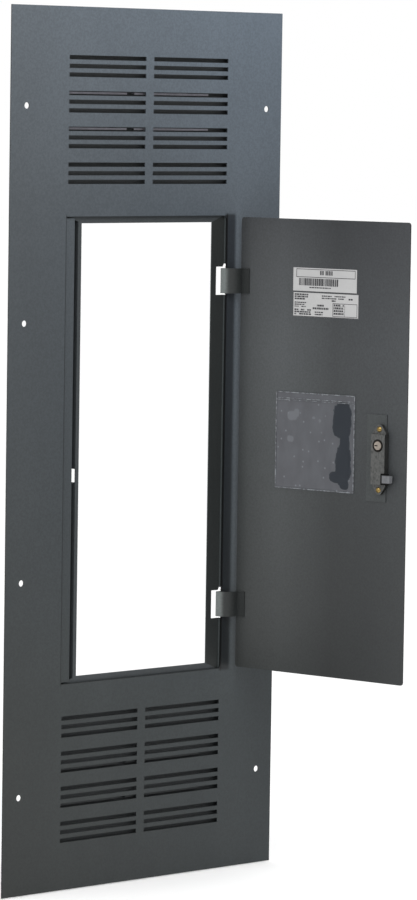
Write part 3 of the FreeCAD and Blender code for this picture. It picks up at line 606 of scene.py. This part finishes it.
# Ink for the print, and also for the painted shadow along the labels' edges.
INK_AND_SHADOW = ink("label_ink_and_shadow", (0.012, 0.012, 0.014))

FINISHES = {
    "trim_plate": TRIM_PAINT,
    "frame_rail_left": LIP_PAINT,
    "frame_rail_right": SHADOWED_RAIL_PAINT,
    "frame_header": LIP_PAINT,
    "frame_sill": LIP_PAINT,
    "upper_vent_baffle": BAFFLE_PAINT,
    "lower_vent_baffle": BAFFLE_PAINT,
    "upper_vent_deflectors": DEFLECTOR,
    "lower_vent_deflectors": BAFFLE_PAINT,
    "upper_hinge_bracket": ZINC,
    "lower_hinge_bracket": ZINC,
    "upper_hinge_pin": ZINC,
    "lower_hinge_pin": ZINC,
    "upper_hinge_arm": HINGE_PAINT,
    "lower_hinge_arm": HINGE_PAINT,
    "door_panel": DOOR_PAINT,
    "lock_mounting_plate": LOCK_PLATE_PAINT,
    "lock_housing": CASTING,
    "lock_cylinder": RING_AND_SHADOW,
    "lock_plug": PLUG,
    "lock_escutcheon": BLACK,
    "lock_screws": BRASS,
    "latch_bolt": BOLT,
    "thumb_slide": BLACK,
    "latch_spring": ZINC,
    "rating_label": LABEL,
    "wiring_label": LABEL,
}
for node, material in FINISHES.items():
    slots = NODES[node].data.materials
    slots.clear()
    slots.append(material)


# ---- Label printing: generic bars, boxes and lines, no words, and painted shadow at the labels' edges ---
# Places are in millimetres on the door: across from its hinge edge, and up from its middle.

LABEL_TOP = 0.17 * MM
INK_RISE = 0.05 * MM
SMALL_WORD = (1.2, 5.0)   # shortest and longest dash
TITLE_WORD = (1.6, 3.2)
BOLD_WORD = (1.8, 3.4)
GAP_CHANCE = 0.1          # how often a dash is left out


def print_bars(name, bars):
    """Thin raised rectangles of ink, and of painted shadow at the labels' edges, on the door's
    inner face, as (left, low, right, high).
    """
    verts, faces = [], []
    for left, low, right, high in bars:
        start = len(verts)
        for z in (LABEL_TOP, LABEL_TOP + INK_RISE):
            for x, y in ((left, low), (right, low), (right, high), (left, high)):
                verts.append(DOOR @ Vector((x * MM, y * MM, z)))
        faces.append((start + 4, start + 5, start + 6, start + 7))
        faces.append((start + 3, start + 2, start + 1, start))
        for i in range(4):
            j = (i + 1) % 4
            faces.append((start + i, start + j, start + 4 + j, start + 4 + i))
    piece = mesh_object(name, verts, faces)
    piece.data.materials.append(INK_AND_SHADOW)
    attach(piece, "door")


def box_lines(left, low, right, high, line):
    """The four sides of an outlined box."""
    return [
        (left, low, right, low + line),
        (left, high - line, right, high),
        (left, low + line, left + line, high - line),
        (right - line, low + line, right, high - line),
    ]


def barcode(left, low, right, high):
    """Upright bars of uneven width and spacing."""
    widths = (0.8, 1.2, 1.9, 2.6)
    gaps = (0.5, 0.7, 1.0)
    bars = []
    x = left
    while x < right - widths[-1]:
        width = random.choice(widths)
        bars.append((x, low, x + width, high))
        x += width + random.choice(gaps)
    return bars


def text_lines(left, right, top, size, rows=1, pitch=0.0, word=SMALL_WORD):
    """Rows of short dashes that stand for small print."""
    bars = []
    for row in range(rows):
        y = top - row * pitch
        x = left
        while x < right - 2.0:
            width = random.uniform(*word)
            if random.random() > GAP_CHANCE:
                bars.append((x, y - size, min(x + width, right), y))
            x += width + random.uniform(0.5, 1.0)
    return bars


def dark_edges(left, low, right, high, foot):
    """Painted shadow along the label's lower and left edges, drawn as dark bars."""
    side = 0.7
    return [(left, low, right, low + foot), (left, low + foot, left + side, high)]


def print_rating_label():
    """A title box, a barcode and a line of small print."""
    marks = box_lines(107.7, 256.8, 220.2, 269.4, line=0.9)
    marks += text_lines(153.0, 179.0, top=267.4, size=6.6, word=TITLE_WORD)
    marks += barcode(113.0, 244.5, 188.0, 255.4)
    marks += text_lines(133.0, 176.0, top=242.6, size=1.8)
    marks += dark_edges(101.1, 235.05, 222.9, 270.9, foot=0.95)
    print_bars("upper_label_print_and_shadow", marks)


def print_wiring_label():
    """Three blocks of small print on the left, notes in the middle and a ruled table."""
    marks = text_lines(105.0, 131.0, top=232.0, size=2.4, rows=3, pitch=3.3)
    marks += text_lines(105.0, 128.0, top=219.5, size=1.7, rows=3, pitch=3.0)
    marks += text_lines(105.0, 137.0, top=209.0, size=2.3, rows=3, pitch=3.2)
    marks += dark_edges(102.1, 197.6, 226.4, 233.5, foot=0.9)
    marks += text_lines(157.0, 202.0, top=230.6, size=1.8, rows=2, pitch=3.4)
    marks += text_lines(176.0, 186.0, top=224.0, size=2.2)
    marks += text_lines(208.0, 219.0, top=227.4, size=2.4)
    marks += text_lines(144.0, 162.0, top=206.0, size=2.0, rows=2, pitch=3.4)
    print_bars("lower_label_print_and_shadow", marks)
    left, low, right, high = 178.0, 199.5, 224.5, 219.5
    column = 201.0
    rule = 0.4
    table = box_lines(left, low, right, high, line=2 * rule)
    for row in range(4):
        level = 202.8 + row * 4.0
        table.append((left + rule, level, column, level + 0.3))
    table.append((column - rule / 2, low + rule, column + rule / 2, high - rule))
    table += text_lines(180.0, 199.0, top=218.0, size=2.6, rows=4, pitch=4.2)
    table += text_lines(148.0, 162.0, top=216.6, size=2.8)
    table += text_lines(140.0, 172.0, top=212.2, size=3.0, word=BOLD_WORD)
    print_bars("lower_label_table", table)


print_rating_label()
print_wiring_label()


# ---- Lock details ------------------------------------------------------------------------------

# Dark strips put in as the painted shadow gap round the bolt.
SHADOW_STRIP_THICK = 1.9 * MM
SHADOW_STRIP_GAP = 0.3 * MM      # below the bolt's face, and above the lock case
SLOT_LENGTH = 5.8 * MM
SLOT_WIDTH = 1.5 * MM
SLOT_FLOOR = 2.2 * MM     # how far below the plug's face the slot's shadow starts
SLOT_SHADOW = 0.35 * MM   # and how far below it the shadow's own face lies
SEAL_OUTER = 9.5 * MM
SEAL_INNER = 8.3 * MM
SEAL_BELOW = 0.3 * MM     # below and above the cylinder's face
SEAL_ABOVE = 0.1 * MM


def make_bolt_shadow_strips():
    """Black strips that stand for the shadow gap round the bolt's left, upper and lower sides;
    they ride with the bolt, above the case.
    """
    left, right, low, high = bolt_face()
    under = door_depth("lock_housing") + SHADOW_STRIP_GAP
    over = door_depth("latch_bolt") - SHADOW_STRIP_GAP
    bars = (
        ("bolt_shadow_left", left - SHADOW_STRIP_THICK, low - SHADOW_STRIP_THICK, left, high + SHADOW_STRIP_THICK),
        ("bolt_shadow_top", left, high, right, high + SHADOW_STRIP_THICK),
        ("bolt_shadow_foot", left, low - SHADOW_STRIP_THICK, right, low),
    )
    for name, x0, y0, x1, y1 in bars:
        outline = rounded_outline(x1 - x0, y1 - y0, 0.3 * MM)
        bar = slab(name, outline, under, over, at(DOOR, (x0 + x1) / 2, (y0 + y1) / 2))
        bar.data.materials.append(BOLT_SHADOW_BLACK)
        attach(bar, "latch")


def make_plug_marks():
    """A dark slab standing for the shadow in the bottom of the plug's cross slot, and a dark seal
    round the cylinder.
    """
    face = door_depth("lock_plug")
    outline = rounded_outline(SLOT_LENGTH, SLOT_WIDTH, 0.2 * MM)
    shadow = slab("plug_slot_shadow", outline, face - SLOT_FLOOR, face - SLOT_SHADOW,
                  at(LOCK_PLACE, -SLOT_LENGTH / 2, 0))
    shadow.data.materials.append(RING_AND_SHADOW)
    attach(shadow, "plug")
    rise = door_depth("lock_cylinder")
    seal = ring("cylinder_seal", circle(SEAL_OUTER), circle(SEAL_INNER), rise - SEAL_BELOW,
                rise + SEAL_ABOVE, LOCK_PLACE)
    seal.data.materials.append(RING_AND_SHADOW)
    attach(seal, "door")


make_bolt_shadow_strips()
make_plug_marks()


# ---- Directory pocket: clear film, welded seams and patches where it clings ---------------------
# Places are in millimetres on the door, as on the labels.

POCKET_LEFT, POCKET_RIGHT = 73.2, 223.7
POCKET_LOW, POCKET_HIGH = -63.5, 82.7
POCKET_WIDTH = (POCKET_RIGHT - POCKET_LEFT) * MM
POCKET_HEIGHT = (POCKET_HIGH - POCKET_LOW) * MM
FILM_THICK = 0.25 * MM
FILM_GAP = 0.45 * MM      # between the door and the film at the seams
FILM_SWELL = 0.65 * MM    # how much further the film stands off in the middle
SEAM_WIDTH = 1.2 * MM
SEAM_LOW, SEAM_HIGH = 0.10 * MM, 1.35 * MM   # heights above the door
FLAP_LOW, FLAP_HIGH = 1.30 * MM, 1.62 * MM
FLAP_SHORTER = 4 * MM     # how much shorter than the pocket the flap's lines are
CLINGING = (              # centre and half size of each patch
    ((200.5, 45.0), (17.5, 27.0)),
    ((206.0, 10.0), (9.0, 14.0)),
    ((203.5, -22.0), (15.0, 29.0)),
    ((193.0, -41.0), (15.0, 8.5)),
    ((206.0, -52.0), (8.0, 7.0)),
)
BUBBLES = (
    ((105.0, 47.0), (9.0, 7.0)),
    ((113.0, 52.0), (5.0, 6.0)),
    ((102.0, 12.0), (6.0, 5.0)),
    ((146.0, 46.0), (3.0, 2.0)),
    ((158.0, 42.0), (2.4, 2.4)),
)
FLAP_LINES = (            # name, how far below the top, and height
    ("pocket_flap_fold", 9.4, 1.0),
    ("pocket_flap_weld", 12.0, 0.8),
)
FILM = clear_film("clear_film", CLINGING, BUBBLES)
SEAM = welded_seam("welded_seam")


def film_height(u, v):
    """How far the front film stands off the door at a share u across and v up the pocket."""
    edge = min(u, 1 - u, v * 1.2, 1.0)
    crown = 1 - math.exp(-edge * 14)
    wave = 0.22 * math.sin(9.0 * u + 2.0 * v) * math.sin(3.1 + 7.0 * v)
    ripple = 0.10 * math.sin(31.0 * u - 12.0 * v) + 0.08 * math.sin(23.0 * v + 5.0 * u)
    return FILM_GAP + FILM_SWELL * crown * (0.75 + wave + ripple)


def make_film():
    """The front film as a rippled sheet of its own thickness."""
    across, up = 72, 70
    verts = []
    for j in range(up + 1):
        for i in range(across + 1):
            u, v = i / across, j / up
            x = POCKET_LEFT * MM + u * POCKET_WIDTH
            y = POCKET_LOW * MM + v * POCKET_HEIGHT
            verts.append(DOOR @ Vector((x, y, film_height(u, v))))
    row = across + 1
    faces = [(j * row + i, j * row + i + 1, (j + 1) * row + i + 1, (j + 1) * row + i)
             for j in range(up) for i in range(across)]
    film = mesh_object("pocket_film", verts, faces, smooth=True)
    film.modifiers.new("thickness", "SOLIDIFY").thickness = FILM_THICK
    film.data.materials.append(FILM)
    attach(film, "door")
    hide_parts("directory_pocket")


def make_seams():
    """The weld round the pocket, and the fold and weld of its flap."""
    middle = at(DOOR, (POCKET_LEFT + POCKET_RIGHT) / 2 * MM, (POCKET_LOW + POCKET_HIGH) / 2 * MM)
    outer = rounded_outline(POCKET_WIDTH, POCKET_HEIGHT, 1.5 * MM)
    inner = rounded_outline(POCKET_WIDTH - 2 * SEAM_WIDTH, POCKET_HEIGHT - 2 * SEAM_WIDTH,
                            1.0 * MM)
    seams = [ring("pocket_seams", outer, inner, SEAM_LOW, SEAM_HIGH, middle)]
    for name, drop, tall in FLAP_LINES:
        outline = rounded_outline(POCKET_WIDTH - FLAP_SHORTER, tall * MM, 0.3 * MM)
        place = at(middle, 0, POCKET_HEIGHT / 2 - drop * MM)
        seams.append(slab(name, outline, FLAP_LOW, FLAP_HIGH, place))
    for seam in seams:
        seam.data.materials.append(SEAM)
        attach(seam, "door")


make_film()
make_seams()


# ---- Camera, floor and light -------------------------------------------------------------------

CAMERA_PLACE = Vector((-4.5225, -4.9322, 0.5072))
CAMERA_AIM = Vector((0.1327, 0.0, -0.0099))
CAMERA_ROLL = math.radians(0.863)
LENS = 179.0              # millimetres, with a sensor 36 mm tall
SENSOR = 36.0
FLOOR_GAP = 2 * MM        # between the trim's bottom edge and the floor


def add_camera():
    """A long lens from the left and slightly above the middle of the trim."""
    data = bpy.data.cameras.new("camera")
    data.sensor_fit = "VERTICAL"
    data.sensor_height = SENSOR
    data.lens = LENS
    data.clip_end = 100
    camera = bpy.data.objects.new("camera", data)
    bpy.context.scene.collection.objects.link(camera)
    turn = (CAMERA_AIM - CAMERA_PLACE).to_track_quat("-Z", "Y").to_matrix().to_4x4()
    roll = Matrix.Rotation(CAMERA_ROLL, 4, "Z")
    camera.matrix_world = Matrix.Translation(CAMERA_PLACE) @ turn @ roll
    bpy.context.scene.camera = camera


def add_floor():
    """A plain pale floor just under the trim's bottom edge."""
    reach = 30.0
    level = TRIM_LOW.z - FLOOR_GAP
    corners = [(-reach, -reach), (reach, -reach), (reach, reach), (-reach, reach)]
    floor = mesh_object("floor", [(x, y, level) for x, y in corners], [(0, 1, 2, 3)])
    paint = Paint("floor_paint")
    soft = paint.noise(0.8, 3.0)
    tone = paint.ramp(soft, [(0.3, (0.95, 0.95, 0.95)), (0.7, (0.97, 0.97, 0.97))])
    floor.data.materials.append(paint.finish(tone, 0.9, Specular_IOR_Level=0.1))


def add_light(name, place, target, width, height, power):
    """A soft rectangular light aimed at a point."""
    data = bpy.data.lights.new(name, "AREA")
    data.shape = "RECTANGLE"
    data.size = width
    data.size_y = height
    data.energy = power
    light = bpy.data.objects.new(name, data)
    light.location = place
    aim = Vector(target) - Vector(place)
    light.rotation_euler = aim.to_track_quat("-Z", "Y").to_euler()
    bpy.context.scene.collection.objects.link(light)


def add_world():
    """White all round behind the part. In front it is dimmer, most of all to the right."""
    world = bpy.data.worlds.new("studio")
    bpy.context.scene.world = world
    world.use_nodes = True
    tree = world.node_tree
    background = tree.nodes["Background"]
    coords = tree.nodes.new("ShaderNodeTexCoord")
    split = tree.nodes.new("ShaderNodeSeparateXYZ")
    tree.links.new(coords.outputs["Generated"], split.inputs[0])

    def ranged(source, ends, values):
        made = tree.nodes.new("ShaderNodeMapRange")
        made.interpolation_type = "SMOOTHSTEP"
        made.inputs["From Min"].default_value, made.inputs["From Max"].default_value = ends
        made.inputs["To Min"].default_value, made.inputs["To Max"].default_value = values
        tree.links.new(source, made.inputs["Value"])
        return made.outputs["Result"]

    sideways = ranged(split.outputs[0], (-1.0, 1.0), (1.15, 0.35))
    upward = ranged(split.outputs[2], (-0.3, 0.9), (0.75, 1.6))
    behind = ranged(split.outputs[1], (0.1, 0.35), (0.0, 1.0))
    front = tree.nodes.new("ShaderNodeMath")
    front.operation = "MULTIPLY"
    tree.links.new(sideways, front.inputs[0])
    tree.links.new(upward, front.inputs[1])
    strength = tree.nodes.new("ShaderNodeMix")
    strength.inputs[3].default_value = 1.0
    tree.links.new(behind, strength.inputs[0])
    tree.links.new(front.outputs[0], strength.inputs[2])
    tree.links.new(strength.outputs[0], background.inputs["Strength"])
    background.inputs["Color"].default_value = (*WHITE, 1)


bpy.context.scene.view_settings.view_transform = "Standard"
add_camera()
add_floor()
add_world()
add_light("overhead", place=(-0.8, -2.2, 2.6), target=(0, 0, 0.3),
          width=2.4, height=1.6, power=60)
add_light("left_fill", place=(-3.2, -1.4, 0.6), target=(0, 0, 0),
          width=1.6, height=2.4, power=20)
